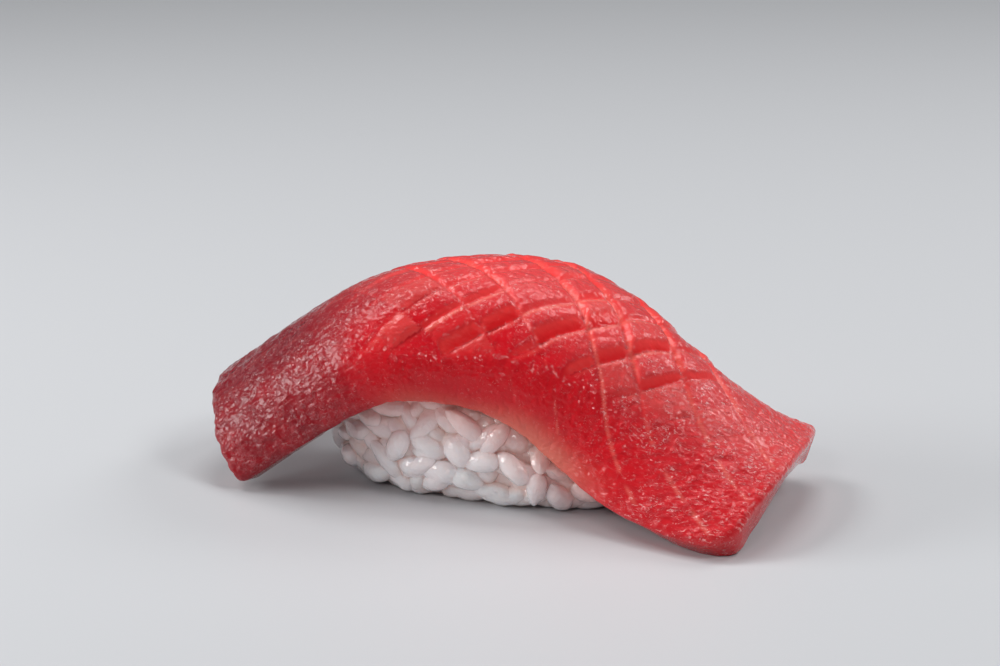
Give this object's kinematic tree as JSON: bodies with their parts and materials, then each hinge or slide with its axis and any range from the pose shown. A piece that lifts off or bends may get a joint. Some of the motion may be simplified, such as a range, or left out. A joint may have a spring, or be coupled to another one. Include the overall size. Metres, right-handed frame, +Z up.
{
  "type": "tuna sushi",
  "caption": "A piece of tuna sushi: a scored slab of raw red tuna draped over a hand-pressed pad of white rice.",
  "frame": {"origin": "middle of the bounding box at its lowest level, which is the surface the sushi lies on", "axes": "+X along the slab toward the end with the open cut face, +Y away from the side the picture shows, +Z up"},
  "size_m": [0.0858, 0.0368, 0.0322],
  "materials": {
    "tuna_flesh": "wet, slightly translucent",
    "cooked_rice": "moist, slightly translucent"
  },
  "bodies": {
    "root": {"tuna": "tuna_flesh", "rice": "cooked_rice"}
  },
  "joints": []
}
